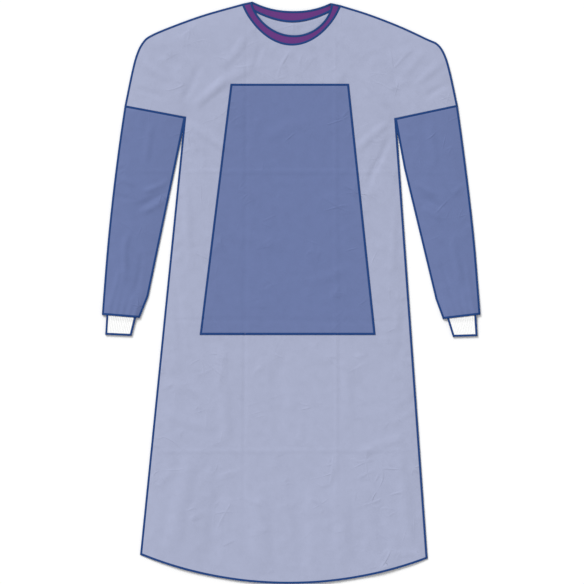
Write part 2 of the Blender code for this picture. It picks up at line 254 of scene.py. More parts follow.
for side, half in SIDES.items():
    print(side, "overarm", round(length(smooth(half.arm) + smooth(half.sleeve_outer))), "mm")

# %% [markdown]
# ## Neckline and hem
# The neckline is drawn twice, front and back, because a front neck is cut lower. Each has a seam
# line, where the binding is sewn on, and a free edge. The hem is one arc, deepest near the
# middle: a rounded hem hangs level on a body, whose front and sides differ in length.

# %% Neckline and hem
HEM_RADIUS = 850.0
HEM_CENTRE_X = -6.0
HEM_LOW = CAD_LOW.y / MM
NECK_HALF_WIDTH = 105.0
FREE_HALF_WIDTH = 85.0
FREE_TOP_RIGHT, FREE_TOP_LEFT = 625.5, 622.5
NECK_STEPS = 90


def hem(x):
    return point(x, HEM_LOW + HEM_RADIUS - sqrt(HEM_RADIUS**2 - (x - HEM_CENTRE_X) ** 2))


def hem_between(first_x, last_x):
    return lambda share: hem(first_x + (last_x - first_x) * share)


def seam_top(x):
    return RIGHT.arm[0].lerp(LEFT.arm[0], (x + NECK_HALF_WIDTH) / (2 * NECK_HALF_WIDTH)).y


def free_top(x):
    share = (x + FREE_HALF_WIDTH) / (2 * FREE_HALF_WIDTH)
    return FREE_TOP_RIGHT + (FREE_TOP_LEFT - FREE_TOP_RIGHT) * share


def scoop(out, fullness):
    """The share of its depth that a front neckline has dropped, out from -1 to 1: steep ends."""
    return max(0.0, 1 - out**2) ** (1 / fullness)


def dish(out, fullness):
    """The same for a back neckline, which only dips."""
    return 1 - abs(out) ** fullness


def neckline(half_width, top, drop, depth, fullness, lean=0.0):
    """A curve that gives a neckline's point at x. lean moves its middle to one side."""

    def point_at(x):
        out = x / half_width
        aside = lean * sqrt(max(0.0, 1 - out**2))
        return point(x + aside, top(x) - depth * drop(out, fullness))

    return point_at


front_seam = neckline(NECK_HALF_WIDTH, seam_top, scoop, depth=87.0, fullness=1.25)
front_free = neckline(FREE_HALF_WIDTH, free_top, scoop, depth=70.5, fullness=1.65, lean=4.0)
back_seam = neckline(NECK_HALF_WIDTH, seam_top, dish, depth=37.0, fullness=1.85)
back_free = neckline(FREE_HALF_WIDTH, free_top, dish, depth=18.5, fullness=2.2)


def traced(curve, first_x, last_x):
    """A neckline's points between two x, close together at its steep ends."""
    middle, half_run = (first_x + last_x) / 2, (last_x - first_x) / 2
    turns = [pi * step / NECK_STEPS for step in range(NECK_STEPS + 1)]
    return [curve(middle - half_run * cos(turn)) for turn in turns]


NECK_SEAM = traced(front_seam, -NECK_HALF_WIDTH, NECK_HALF_WIDTH)
NECK_FREE = traced(front_free, -FREE_HALF_WIDTH, FREE_HALF_WIDTH)
print("front neckline", round(length(NECK_SEAM)), "mm, free edge", round(length(NECK_FREE)))

# %% [markdown]
# ## How high the cloth lies
# Laid flat, a gown is still not a sheet of paper. Its upper cloth rises over 45 mm from the
# seams, where it is joined to the cloth underneath, and a few soft folds run up from the hem.
# On top of that come creases: drag lines at the armpits, bends at the elbows, and the pressed
# lines that folding for the packet leaves. Each is a row in a table, so it can be moved by hand.
# A little smooth noise bends the creases, because no crease in cloth is a ruled line.

# %% Heights of the layers
CLOTH = 0.6
CLOTH_UNDER = 0.35  # the backs' cloth lies this high, so that their bindings touch the surface
LAYER = 1.5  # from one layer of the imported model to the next
SOLID_CLOTH = 1.2
LOFT = 2.0
LOFT_WIDTH = 45.0

Fold = namedtuple("Fold", "hem_x top_x top_y half_width height")
FOLDS = [
    Fold(-232, -200, -190, 55, 1.1),
    Fold(-96, -82, -330, 50, 0.8),
    Fold(58, 52, -250, 58, 1.0),
    Fold(196, 172, -370, 48, 1.2),
]


def ease(share):
    """0 to 1 with a level start and end."""
    share = min(1.0, max(0.0, share))
    return share * share * (3 - 2 * share)


def rising(distance, width):
    """0 to 1, steep at the seam and level once the cloth is this far from it."""
    return sin(pi / 2 * min(1.0, distance / width))


def fold_height(at):
    height = 0.0
    for fold in FOLDS:
        down = (fold.top_y - at.y) / (fold.top_y - HEM_LOW)
        centre = fold.top_x + (fold.hem_x - fold.top_x) * down
        across = abs(at.x - centre) / fold.half_width
        if down > 0 and across < 1:
            height += fold.height * ease(down) * cos(pi / 2 * across) ** 2
    return height


def nearest_finder(lines):
    """A tree that finds the nearest point of these lines."""
    points = [at for line in lines for at in spaced(line, 1.0)]
    tree = kdtree.KDTree(len(points))
    for index, at in enumerate(points):
        tree.insert(at.to_3d(), index)
    tree.balance()
    return tree


CLOSED_LINES = []
for half in SIDES.values():
    CLOSED_LINES += [[half.armpit, hem(half.hem_x)], smooth(half.arm)]
    CLOSED_LINES += [smooth(half.sleeve_outer), half.sleeve_inner]
CLOSED = nearest_finder(CLOSED_LINES)


def from_closed_edge(at):
    return CLOSED.find(at.to_3d())[2]


print("joined edges", round(sum(map(length, CLOSED_LINES))), "mm")

# %% The tables of creases
Crease = namedtuple("Crease", "start run half_width height")


def creases(*rows):
    """Each row: x and y where a crease starts, x and y where it ends, half width and height."""
    made = []
    for from_x, from_y, to_x, to_y, half_width, height in rows:
        start = point(from_x, from_y)
        made.append(Crease(start, point(to_x, to_y) - start, half_width, height))
    return made


BODY_CREASES = creases(
    # drag lines from the armpits
    (-226, 372, -122, 286, 13, 0.9),
    (-228, 352, -150, 232, 11, -0.7),
    (-214, 392, -128, 470, 15, 0.8),
    (-236, 396, -196, 500, 12, -0.6),
    (-206, 410, -60, 508, 18, 0.5),
    (221, 370, 128, 300, 12, 0.8),
    (224, 346, 152, 214, 12, -0.8),
    (212, 392, 140, 486, 14, 0.8),
    (236, 398, 214, 506, 11, -0.5),
    # across the kimono sleeves
    (-330, 500, -262, 452, 11, 0.7),
    (-344, 444, -268, 420, 10, -0.5),
    (-300, 536, -226, 470, 14, -0.5),
    (326, 506, 270, 446, 12, 0.7),
    (345, 452, 276, 416, 10, -0.5),
    (292, 528, 232, 456, 13, 0.5),
    # from the neck
    (-92, 558, -158, 478, 14, 0.6),
    (-60, 536, -84, 470, 12, -0.4),
    (88, 560, 160, 492, 13, 0.6),
    (46, 536, 70, 466, 12, -0.4),
    (-8, 528, 14, 452, 14, 0.4),
    # down the sides of the body
    (-232, 250, -214, 40, 14, 0.6),
    (-262, 60, -226, -160, 13, -0.5),
    (228, 236, 214, 20, 13, 0.6),
    (250, 30, 226, -180, 14, -0.5),
    # on the stomach, under the chest panel's cloth
    (-120, 130, -20, 96, 18, 0.4),
    (30, 20, 140, 58, 18, 0.4),
    (-70, 330, 40, 372, 20, 0.4),
    # below the chest panel
    (-150, -112, -138, -360, 20, 0.6),
    (-30, -116, -22, -330, 22, -0.5),
    (118, -108, 128, -300, 18, 0.6),
    (-290, -250, -170, -300, 17, 0.5),
    (252, -300, 130, -352, 16, 0.5),
    # long soft folds up from the hem
    (-262, -570, -212, -330, 24, 0.9),
    (-176, -600, -150, -390, 26, -0.7),
    (-64, -615, -72, -400, 28, 0.9),
    (26, -618, 8, -360, 24, -0.6),
    (118, -610, 98, -380, 27, 0.9),
    (206, -590, 182, -410, 22, -0.7),
    (258, -560, 226, -300, 20, 0.7),
)
# The backs' creases are all ridges: below them is the surface, so the cloth can only rise
BACK_CREASES = creases(
    (-225, 360, -120, 270, 15, 0.5),
    (222, 358, 130, 250, 14, 0.5),
    (-334, 492, -268, 450, 12, 0.5),
    (330, 500, 272, 452, 12, 0.5),
    (-60, 480, -40, 300, 18, 0.4),
    (150, 250, 168, 20, 18, 0.4),
    (-170, 120, -150, -120, 18, 0.4),
    (40, -40, 24, -300, 22, 0.4),
    (-220, -560, -190, -330, 22, 0.5),
    (150, -580, 134, -360, 24, 0.5),
    (-30, -600, -40, -430, 20, 0.4),
)
# Lines that folding leaves: two down the gown and three across it
PRESSED = creases(
    (-96, 640, -104, -640, 4.5, -0.45),
    (94, 640, 98, -640, 4.5, 0.45),
    (-420, 262, 420, 258, 4.5, 0.4),
    (-420, -58, 420, -62, 4.5, -0.4),
    (-420, -342, 420, -338, 4.5, 0.4),
)
SLEEVE_CREASES = creases(
    # elbow bends, inside and outside of the right sleeve
    (-258, 246, -322, 214, 9, 0.9),
    (-262, 222, -338, 178, 10, -0.8),
    (-270, 196, -322, 172, 8, 0.8),
    (-382, 250, -334, 226, 9, 0.6),
    (-386, 206, -340, 196, 9, -0.5),
    # down the right sleeve
    (-296, 372, -318, 268, 12, 0.6),
    (-350, 140, -366, 10, 11, 0.7),
    (-318, 90, -346, -30, 9, -0.6),
    (-372, 60, -388, -30, 7, 0.6),
    # the left sleeve
    (256, 240, 318, 204, 9, 0.9),
    (264, 212, 340, 176, 10, -0.7),
    (270, 188, 330, 150, 8, 0.8),
    (381, 236, 338, 214, 9, 0.6),
    (296, 368, 314, 262, 12, 0.6),
    (346, 128, 364, 4, 11, 0.7),
    (322, 80, 346, -30, 9, -0.6),
    (374, 66, 388, -26, 7, 0.6),
)
tables = (BODY_CREASES, BACK_CREASES, SLEEVE_CREASES)
print(sum(map(len, tables)), "creases and", len(PRESSED), "pressed lines")

# %% Creased cloth
CREASE_GAIN = 2.2
FADE_IN, FADE_OUT = 4, 3  # a crease fades in over a quarter of its length and out over a third
WANDER = 7.0
WANDER_LENGTH = 60.0
SWELL = 0.55
SWELL_LENGTH = 120.0
PUCKER = 0.5
PUCKER_LENGTH = 11.0
PUCKER_REACH = 9.0
PUCKER_STARTS = 3.0
NOISE_LAYER = 7.3  # so far apart, two layers of the same noise look nothing alike


def drift(at, size, layer):
    """Smooth noise from -1 to 1 whose bumps are about this long."""
    return noise.noise(Vector((*(at / size), layer * NOISE_LAYER)))


def ridge(at, crease):
    """A crease's height here: soft across, and fading out at both ends."""
    away = at - crease.start
    share = away.dot(crease.run) / crease.run.length_squared
    across = abs(away.cross(crease.run)) / crease.run.length / crease.half_width
    if across >= 1 or not 0 < share < 1:
        return 0.0
    fade = ease(share * FADE_IN) * ease((1 - share) * FADE_OUT)
    return CREASE_GAIN * crease.height * (1 - across**2) ** 2 * fade


def creased(at, table):
    """The height of these creases, of the pressed lines and of the cloth's slow swell."""
    wander = [WANDER * drift(at, WANDER_LENGTH, layer) for layer in (1, 2)]
    bent = at + point(*wander)
    height = SWELL * drift(at, SWELL_LENGTH, 3)
    for crease in table:
        height += ridge(bent, crease)
    for crease in PRESSED:
        height += ridge(at, crease)
    return height


def pucker(at, distance):
    """Short waves that a row of sewing draws up beside itself."""
    near = min(1.0, distance / PUCKER_STARTS) * exp(-distance / PUCKER_REACH)
    return PUCKER * drift(at, PUCKER_LENGTH, 4) * near


def front_top(at):
    """Top of the front's cloth."""
    distance = from_closed_edge(at)
    lift = LOFT + fold_height(at) + creased(at, BODY_CREASES)
    return LAYER + SOLID_CLOTH + lift * rising(distance, LOFT_WIDTH) + pucker(at, distance)


print("front lies", round(front_top(point(0, -300)), 2), "mm high at the middle")

# %% [markdown]
# ## A patch of cloth
# Each panel is stretched between four curves, as a tailor would stretch cloth in a frame. Blender's
# grid operator makes the cloth, and a Coons patch says where each of its points goes: the mix of
# the four sides, less the mix of the four corners, which would otherwise count twice.
# Cloth gets its thickness last, from a Solidify modifier that builds downwards from the top.

# %% Stretching and finishing cloth
MERGE = 0.002


def spot(at, height):
    return Vector((*at, height)) * MM


def add_grid(bm, columns, rows, place, chart=None):
    """Adds a grid. place and chart turn the shares of the way across it, u and v, into a spot
    and into map coordinates."""
    layer = bm.loops.layers.uv.verify() if chart else None
    made = bmesh.ops.create_grid(bm, x_segments=columns, y_segments=rows, size=0.5)
    shares = {vert: (vert.co.x + 0.5, vert.co.y + 0.5) for vert in made["verts"]}
    if chart:
        for face in {face for vert in shares for face in vert.link_faces}:
            for loop in face.loops:
                loop[layer].uv = chart(*shares[loop.vert])
    for vert, share in shares.items():
        vert.co = place(*share)


def stretch(bm, columns, rows, foot, right, top, left, height):
    """Adds a grid stretched between four curves. foot and top run in +X, the sides in +Y."""
    corners = (foot(0), foot(1), top(0), top(1))

    def place(u, v):
        shares = ((1 - u) * (1 - v), u * (1 - v), (1 - u) * v, u * v)
        sides = ((1 - v, foot(u)), (v, top(u)), (1 - u, left(v)), (u, right(v)))
        at = weighed(sides) - weighed(zip(shares, corners))
        return spot(at, height(at))

    add_grid(bm, columns, rows, place)


def roll(bm, columns, rows, place, chart=None):
    """Adds a tube: a grid whose last row lies on its first and is joined to it."""
    add_grid(bm, columns, rows, lambda u, v: place(u, v % 1.0), chart)
    bmesh.ops.remove_doubles(bm, verts=bm.verts, dist=MERGE * MM)
    bmesh.ops.recalc_face_normals(bm, faces=bm.faces)


def mesh_object(name, bm, material):
    mesh = bpy.data.meshes.new(name)
    bm.to_mesh(mesh)
    bm.free()
    mesh.materials.append(material)
    mesh.shade_smooth()
    return new_object(name, mesh)


def finished(name, bm, material):
    """Turns a bmesh into a piece that rides on the gown's one body."""
    bmesh.ops.remove_doubles(bm, verts=bm.verts, dist=MERGE * MM)
    piece = mesh_object(name, bm, material)
    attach(piece, "root")
    return piece


def thicken(piece, wall):
    """Gives open cloth its wall, below or inside the surface."""
    solidify = piece.modifiers.new("Wall", "SOLIDIFY")
    solidify.thickness = wall * MM
    solidify.offset = -1
    print(piece.name, len(piece.data.polygons), "faces before its wall of", wall, "mm")
    return piece


def cloth_area(piece):
    """The flat size of the cloth, in square metres."""
    return sum(face.area for face in piece.data.polygons)


def surface(piece):
    """A function that gives the height of a piece's upper side over any point."""
    places = [vert.co for vert in piece.data.vertices]
    tree = bvhtree.BVHTree.FromPolygons(places, [face.vertices for face in piece.data.polygons])
    ceiling, down = 2 * CAD_HIGH.z / MM, Vector((0, 0, -1))

    def top(at):
        above = spot(at, ceiling)
        hit = tree.ray_cast(above, down)[0] or tree.find_nearest(above)[0]
        return hit.z / MM

    return top


print("cloth points closer than", MERGE, "mm are joined")

# %% [markdown]
# ## Shared effects
# Spunbond nonwoven is a mat of fibres, melted together at a grid of small points. Four things
# tell it from paper: those bond points, the fibres between them, a cloudy look where fibres lie
# thicker, and a crisp handle that leaves fine wrinkles. Both blue cloths show all four, so the
# effect is one node group, placed in each material with its own values. Fibres and wrinkles are
# drawn alike: the contour lines of a noise that is stretched one way are long thin lines.

# %% Helpers for nodes
def node(tree, kind, **settings):
    made = tree.nodes.new(kind)
    for name, value in settings.items():
        setattr(made, name, value)
    return made


def give(socket, value):
    """Links a socket to another one, or sets it to a plain value."""
    if isinstance(value, bpy.types.NodeSocket):
        socket.id_data.links.new(value, socket)
    else:
        socket.default_value = value


def feed(made, **values):
    """Gives a node's inputs their values by name; underscores stand for spaces."""
    for name, value in values.items():
        give(made.inputs[name.replace("_", " ")], value)
    return made


def calculate(tree, operation, *values):
    made = node(tree, "ShaderNodeMath", operation=operation)
    for socket, value in zip(made.inputs, values):
        give(socket, value)
    return made.outputs[0]


def turned(tree, position, degrees):
    made = node(tree, "ShaderNodeVectorRotate", rotation_type="Z_AXIS")
    return feed(made, Vector=position, Angle=radians(degrees)).outputs["Vector"]


def eased(tree, value, low, high, start, end):
    """Goes softly from start to end while the value goes from low to high."""
    made = node(tree, "ShaderNodeMapRange", interpolation_type="SMOOTHSTEP")
    feed(made, Value=value, From_Min=low, From_Max=high, To_Min=start, To_Max=end)
    return made.outputs["Result"]


def noise_at(tree, position, size, noise_type="FBM", **values):
    """Noise whose bumps are about this size, in metres."""
    made = node(tree, "ShaderNodeTexNoise", noise_type=noise_type)
    scale = calculate(tree, "DIVIDE", 1.0, size)
    return feed(made, Vector=position, Scale=scale, **values).outputs["Fac"]


def relief(tree, height, depth, under=None, **settings):
    """The normal of a surface with this relief, laid over a coarser one."""
    made = feed(node(tree, "ShaderNodeBump", **settings), Height=height, Distance=depth)
    if under:
        feed(made, Normal=under)
    return made.outputs["Normal"]


def group_tree(name, place, values, masks):
    """A node group that takes a place and some values, and gives masks and a normal."""
    tree = bpy.data.node_groups.new(name, "ShaderNodeTree")
    sockets = [(place, "INPUT", "Vector", None)]
    sockets += [(label, "INPUT", "Float", value) for label, value in values.items()]
    sockets += [(label, "OUTPUT", "Float", None) for label in masks]
    sockets.append(("Normal", "OUTPUT", "Vector", None))
    for label, way, kind, value in sockets:
        socket = tree.interface.new_socket(label, in_out=way, socket_type=f"NodeSocket{kind}")
        if value is not None:
            socket.default_value = value
    return tree, node(tree, "NodeGroupInput").outputs, node(tree, "NodeGroupOutput")


print("nodes for Blender", bpy.app.version_string)

# %% Nonwoven cloth
BOND_LEAN = 45  # degrees from the cloth's length
BOND_UNEVEN = 0.12
BOND_FLAT, BOND_EDGE = 0.2, 0.31  # shares of the way from one bond point to the next
BOND_FLATTENS = 0.8  # the share of the fibres' relief that a bond point presses flat
BOND_SHOWS = 0.25
FIBRE_SHOWS = 0.6
CLOUDS = {"Detail": 5.0, "Roughness": 0.62}
CRUMPLES = {"Detail": 3.0, "Roughness": 0.45, "Lacunarity": 2.1, "Distortion": 0.6}
# How fine lines look. Each layer of them leans by so many degrees from the cloth's length
Lines = namedtuple("Lines", "leans stretch swirl edge")
FIBRES = Lines(leans=(24, -31, 78), stretch=0.1, swirl=1.6, edge=0.06)
WRINKLES = Lines(leans=(12, -48, 70), stretch=0.35, swirl=0.7, edge=0.045)


def strands(tree, position, width, lines):
    """Layers of long thin lines: the contour lines of a noise that is stretched one way."""
    shown = None
    for lean in lines.leans:
        drawn = node(tree, "ShaderNodeVectorMath", operation="MULTIPLY")
        give(drawn.inputs[0], turned(tree, position, lean))
        give(drawn.inputs[1], (1.0, lines.stretch, 1.0))
        waves = noise_at(tree, drawn.outputs["Vector"], width, Detail=1.0, Distortion=lines.swirl)
        middle = calculate(tree, "ABSOLUTE", calculate(tree, "SUBTRACT", waves, 0.5))
        layer = eased(tree, middle, 0.0, lines.edge, 1.0, 0.0)
        shown = calculate(tree, "MAXIMUM", shown, layer) if shown else layer
    return shown


def nonwoven_group():
    """Bond points, fibres, their clouds, wrinkles and crumpling, from a position in metres."""
    values = {
        "Bond Pitch": 0.002,
        "Bond Depth": 0.00005,
        "Fibre Width": 0.0006,
        "Fibre Depth": 0.00005,
        "Cloud Size": 0.02,
        "Wrinkle Size": 0.055,
        "Wrinkle Depth": 0.0015,
        "Crumple Size": 0.06,
        "Crumple Depth": 0.0015,
    }
    tree, given, result = group_tree("nonwoven", "Position", values, ["Bond", "Thickness"])
    position = given["Position"]

    points = node(tree, "ShaderNodeTexVoronoi", voronoi_dimensions="2D", feature="F1")
    per_metre = calculate(tree, "DIVIDE", 1.0, given["Bond Pitch"])
    leaning = turned(tree, position, BOND_LEAN)
    feed(points, Vector=leaning, Scale=per_metre, Randomness=BOND_UNEVEN)
    bond = eased(tree, points.outputs["Distance"], BOND_FLAT, BOND_EDGE, 1.0, 0.0)

    loose = calculate(tree, "MULTIPLY_ADD", bond, -BOND_FLATTENS, 1.0)
    fibre = strands(tree, position, given["Fibre Width"], FIBRES)
    fibre = calculate(tree, "MULTIPLY", fibre, loose)
    cloud = noise_at(tree, position, given["Cloud Size"], **CLOUDS)
    thickness = calculate(tree, "MULTIPLY_ADD", fibre, FIBRE_SHOWS, cloud)
    thickness = calculate(tree, "MULTIPLY_ADD", bond, -BOND_SHOWS, thickness)

    crumple = noise_at(tree, position, given["Crumple Size"], "RIDGED_MULTIFRACTAL", **CRUMPLES)
    wrinkle = strands(tree, position, given["Wrinkle Size"], WRINKLES)
    wrinkle = calculate(tree, "MULTIPLY", wrinkle, crumple)
    normal = relief(tree, crumple, given["Crumple Depth"])
    normal = relief(tree, wrinkle, given["Wrinkle Depth"], normal)
    normal = relief(tree, fibre, given["Fibre Depth"], normal)
    normal = relief(tree, bond, given["Bond Depth"], normal, invert=True)
    feed(result, Bond=bond, Thickness=thickness, Normal=normal)
    return tree


NONWOVEN = nonwoven_group()
print(NONWOVEN.name, "group:", len(NONWOVEN.nodes), "nodes")

# %% [markdown]
# ## Woven tape and knitting
# A woven tape shows slanting ribs, and a rib knit shows columns of V-shaped stitches. Both are
# regular, so they are drawn with sine waves, on a map that follows the piece along and across.

# %% Woven tape and knitting
RIB_SLANT = 0.35
STITCH_SLANT = 1.8
STITCH_ROUND = 0.6
# where a knit's painted groove shade starts, and how wide the painted shade down a rib's middle is
GROOVE_SHADE_STARTS = 0.36  # shares of a rib's width from its middle line, where its half width is 0.5
MIDDLE_LINE_SHADE = 0.05


def weave_group():
    """Ribs of a woven tape, from a map whose units are metres along and across it. Its Rib mask also
    mixes the tape's painted light on the ribs and painted shade between them.
    """
    values = {"Rib Pitch": 0.0006, "Depth": 0.0001}
    tree, given, result = group_tree("tape_weave", "Map", values, ["Rib"])
    split = feed(node(tree, "ShaderNodeSeparateXYZ"), Vector=given["Map"]).outputs
    waves = []
    for axis, other, slant in (("X", "Y", RIB_SLANT), ("Y", "X", -RIB_SLANT)):
        lean = calculate(tree, "MULTIPLY", split[other], slant)
        run = calculate(tree, "ADD", split[axis], lean)
        turns = calculate(tree, "DIVIDE", run, given["Rib Pitch"])
        waves.append(calculate(tree, "SINE", calculate(tree, "MULTIPLY", turns, 2 * pi)))
    crossed = calculate(tree, "MULTIPLY", *waves)
    # the rib mask gives the relief, and also the painted light on the ribs and painted shade between
    # them
    rib = calculate(tree, "MULTIPLY_ADD", crossed, 0.5, 0.5)
    feed(result, Rib=rib, Normal=relief(tree, rib, given["Depth"]))
    return tree


def knit_group():
    """V-shaped stitches stacked up each rib, from a map in ribs across and stitches along. Its mask
    is painted shade in the grooves between ribs and down each rib's middle.
    """
    tree, given, result = group_tree("rib_knit", "Map", {"Depth": 0.00016}, ["Groove"])
    split = feed(node(tree, "ShaderNodeSeparateXYZ"), Vector=given["Map"]).outputs
    across = calculate(tree, "FRACT", split["X"])
    out = calculate(tree, "ABSOLUTE", calculate(tree, "SUBTRACT", across, 0.5))
    slanted = calculate(tree, "MULTIPLY_ADD", out, STITCH_SLANT, split["Y"])
    wave = calculate(tree, "SINE", calculate(tree, "MULTIPLY", slanted, pi))
    stitch = calculate(tree, "POWER", calculate(tree, "ABSOLUTE", wave), STITCH_ROUND)
    # painted shade: the grooves between ribs and a thin line down each rib's middle are darkened in
    # colour
    groove_shade = eased(tree, out, GROOVE_SHADE_STARTS, 0.5, 0.0, 1.0)
    seam = calculate(tree, "LESS_THAN", out, MIDDLE_LINE_SHADE)
    shade = calculate(tree, "MAXIMUM", groove_shade, seam)
    feed(result, Groove=shade, Normal=relief(tree, stitch, given["Depth"]))
    return tree


WEAVE = weave_group()
KNIT_STITCHES = knit_group()
print(WEAVE.name, "and", KNIT_STITCHES.name, "groups are ready")

# %% [markdown]
# ## Materials
# Colours are given as they look in daylight, from 0 to 255, and turned into the linear values
# that a shader takes. The light cloth is matt. The reinforced cloth has a film on it, so it is
# smoother and its bond points shallower. Knit and tape are matt threads with a soft sheen.
# The grooves of the tape and the knit are darkened with painted shade, and the tape's ribs lightened
# with painted light.

# %% Finishes
SHEEN_ROUGHNESS = 0.5
NONWOVEN_SHEEN, TAPE_SHEEN, KNIT_SHEEN = 0.08, 0.1, 0.15
SPECULAR = 0.25
THIN_CLOTH, THICK_CLOTH = 0.89, 1.07  # a material's own colour is multiplied by such a pair
# painted shade between a tape's ribs and painted light on their tops
TAPE_GROOVE_SHADE, TAPE_RIB_LIGHT = 0.85, 1.12


def linear(rgb, factor=1.0):
    """A shader colour from values of 0 to 255, made lighter or darker by the factor."""
    shares = [value / 255 for value in rgb]
    values = [s / 12.92 if s <= 0.04045 else ((s + 0.055) / 1.055) ** 2.4 for s in shares]
    return (*[min(1.0, value * factor) for value in values], 1)


def new_material(name, roughness, sheen):
    material = bpy.data.materials.new(name)
    material.use_nodes = True
    tree = material.node_tree
    shader = tree.nodes["Principled BSDF"]
    feed(shader, Roughness=roughness, Specular_IOR_Level=SPECULAR)
    feed(shader, Sheen_Weight=sheen, Sheen_Roughness=SHEEN_ROUGHNESS)
    return material, tree, shader


def placed(tree, group, **values):
    """A copy of a node group in a material, with its own values."""
    return feed(node(tree, "ShaderNodeGroup", node_tree=group), **values).outputs


def mixed(tree, factor, first, second):
    """A colour between two, by a factor that a link supplies."""
    mix = node(tree, "ShaderNodeMix", data_type="RGBA")
    give(mix.inputs["Factor"], factor)
    colours = [socket for socket in mix.inputs if socket.type == "RGBA"]
    for socket, value in zip(colours, (first, second)):
        give(socket, value)
    return next(socket for socket in mix.outputs if socket.type == "RGBA")


def nonwoven_material(name, rgb, roughness, bond_gloss, **values):
    """A nonwoven cloth: paler where fibres lie thick, glossier at its bond points."""
    material, tree, shader = new_material(name, roughness, NONWOVEN_SHEEN)
    position = node(tree, "ShaderNodeTexCoord").outputs["Object"]
    cloth = placed(tree, NONWOVEN, Position=position, **values)
    thin, thick = linear(rgb, THIN_CLOTH), linear(rgb, THICK_CLOTH)
    gloss = calculate(tree, "MULTIPLY_ADD", cloth["Bond"], -bond_gloss, roughness)
    feed(shader, Base_Color=mixed(tree, cloth["Thickness"], thin, thick))
    feed(shader, Roughness=gloss, Normal=cloth["Normal"])
    return material


def mapped_material(name, roughness, sheen, group, mask, colours, **values):
    """A woven or knitted cloth, whose pattern follows the piece's own map. The pattern's mask mixes
    its two colours, painting shade into the grooves.
    """
    material, tree, shader = new_material(name, roughness, sheen)
    chart = node(tree, "ShaderNodeUVMap").outputs["UV"]
    pattern = placed(tree, group, Map=chart, **values)
    feed(shader, Base_Color=mixed(tree, pattern[mask], *colours), Normal=pattern["Normal"])
    return material


def tape_material(name, rgb, pitch, depth, roughness):
    """A woven tape, with painted shade between its ribs and painted light on them."""
    colours = linear(rgb, TAPE_GROOVE_SHADE), linear(rgb, TAPE_RIB_LIGHT)
    look = {"Rib_Pitch": pitch, "Depth": depth}
    return mapped_material(name, roughness, TAPE_SHEEN, WEAVE, "Rib", colours, **look)


BODY_CLOTH = nonwoven_material(
    "light_nonwoven", rgb=(163, 169, 195), roughness=0.85, bond_gloss=0.2
)
PANEL_CLOTH = nonwoven_material(
    "reinforced_nonwoven",
    rgb=(101, 115, 160),
    roughness=0.7,
    bond_gloss=0.12,
    Bond_Depth=0.00003,
    Fibre_Depth=0.00002,
    Wrinkle_Depth=0.0012,
    Crumple_Depth=0.0011,
)
NAVY, PURPLE, THREAD_BLUE = (14, 60, 122), (101, 50, 125), (30, 72, 136)
EDGE_TAPE = tape_material("navy_edge_tape", NAVY, pitch=0.0007, depth=0.00012, roughness=0.75)
NECK_TAPE = tape_material("purple_neck_tape", PURPLE, pitch=0.0009, depth=0.00014, roughness=0.8)
THREAD = tape_material("navy_thread", THREAD_BLUE, pitch=0.0004, depth=0.00005, roughness=0.6)
RIB_KNIT = mapped_material(
    "white_rib_knit",
    roughness=0.9,
    sheen=KNIT_SHEEN,
    group=KNIT_STITCHES,
    mask="Groove",
    colours=[linear((255, 255, 254)), linear((232, 234, 236))],  # on the ribs, and painted shade between them and down each rib's middle
)
print("materials:", [material.name for material in bpy.data.materials if material.use_nodes])

# %% [markdown]
# ## The front
# The front is one panel from neck to hem with both upper sleeves cut on. It is made from four
# patches that share their edges: the body, the yoke above it, and one shoulder on each side.
# The merge in `finished` joins them into one sheet.

# %% The front
BODY_COLUMNS, BODY_ROWS = 144, 220
YOKE_ROWS = 58
SHOULDER_COLUMNS = 32


def shoulder_patch(bm, half, height, rows=YOKE_ROWS, columns=SHOULDER_COLUMNS):
    """The upper sleeve: from the slanted sleeve seam up to the shoulder line."""
    outline = smooth(half.arm)
    tip = SHOULDER_TIP * CURVE_STEPS
    shoulder, upper_arm = along(outline[: tip + 1]), reverse(along(outline[tip:]))
    raglan = straight(half.armpit, half.arm[0])
    if half.sign == 1:
        seam = straight(half.arm[-1], half.armpit)
        stretch(bm, columns, rows, seam, raglan, reverse(shoulder), upper_arm, height)
    else:
        seam = straight(half.armpit, half.arm[-1])
        stretch(bm, columns, rows, seam, upper_arm, shoulder, raglan, height)


def body_and_yoke(bm, columns, rows, yoke_rows, low, high, top, height):
    """A strip of body from hem to armpit level, and its yoke up to the curve top."""
    foot, level = hem_between(low[0].x, high[0].x), straight(low[1], high[1])
    stretch(bm, columns, rows, foot, straight(*high), level, straight(*low), height)
    sides = (straight(high[1], top(1)), straight(low[1], top(0)))
    stretch(bm, columns, yoke_rows, level, sides[0], top, sides[1], height)


def side_ends(half):
    return hem(half.hem_x), half.armpit


def make_front():
    bm = bmesh.new()
    ends = (side_ends(RIGHT), side_ends(LEFT))
    body_and_yoke(bm, BODY_COLUMNS, BODY_ROWS, YOKE_ROWS, *ends, along(NECK_SEAM), front_top)
    shoulder_patch(bm, RIGHT, front_top)
    shoulder_patch(bm, LEFT, front_top)
    piece = thicken(finished("front_panel", bm, BODY_CLOTH), CLOTH)
    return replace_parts(piece, "front")


front_panel = make_front()

# %% [markdown]
# ## The two backs
# The gown closes behind, so its back is two panels that lap over each other in the middle.
# Laid out, the left back is the lowest cloth, flat on the surface. The right back starts on the
# surface too, and climbs onto the left one where they lap. Only the inside of the neck shows
# from above, so the backs are coarser than the front.

# %% The backs
LAP_EDGE = 87.0
LAP_RISE_STARTS, LAP_RISE_ENDS = -105.0, -88.0
BACK_COLUMNS, BACK_ROWS = 48, 110
RISE_COLUMNS = 6
BACK_YOKE_ROWS = 30
BACK_RELIEF = 0.25
BACK_SHARE = 0.4  # a crease's height here, as a share of what it would be on the loose front


def lap_rise(x):
    """How far the right back has climbed onto the left one, from 0 to 1."""
    return min(1.0, max(0.0, (x - LAP_RISE_STARTS) / (LAP_RISE_ENDS - LAP_RISE_STARTS)))


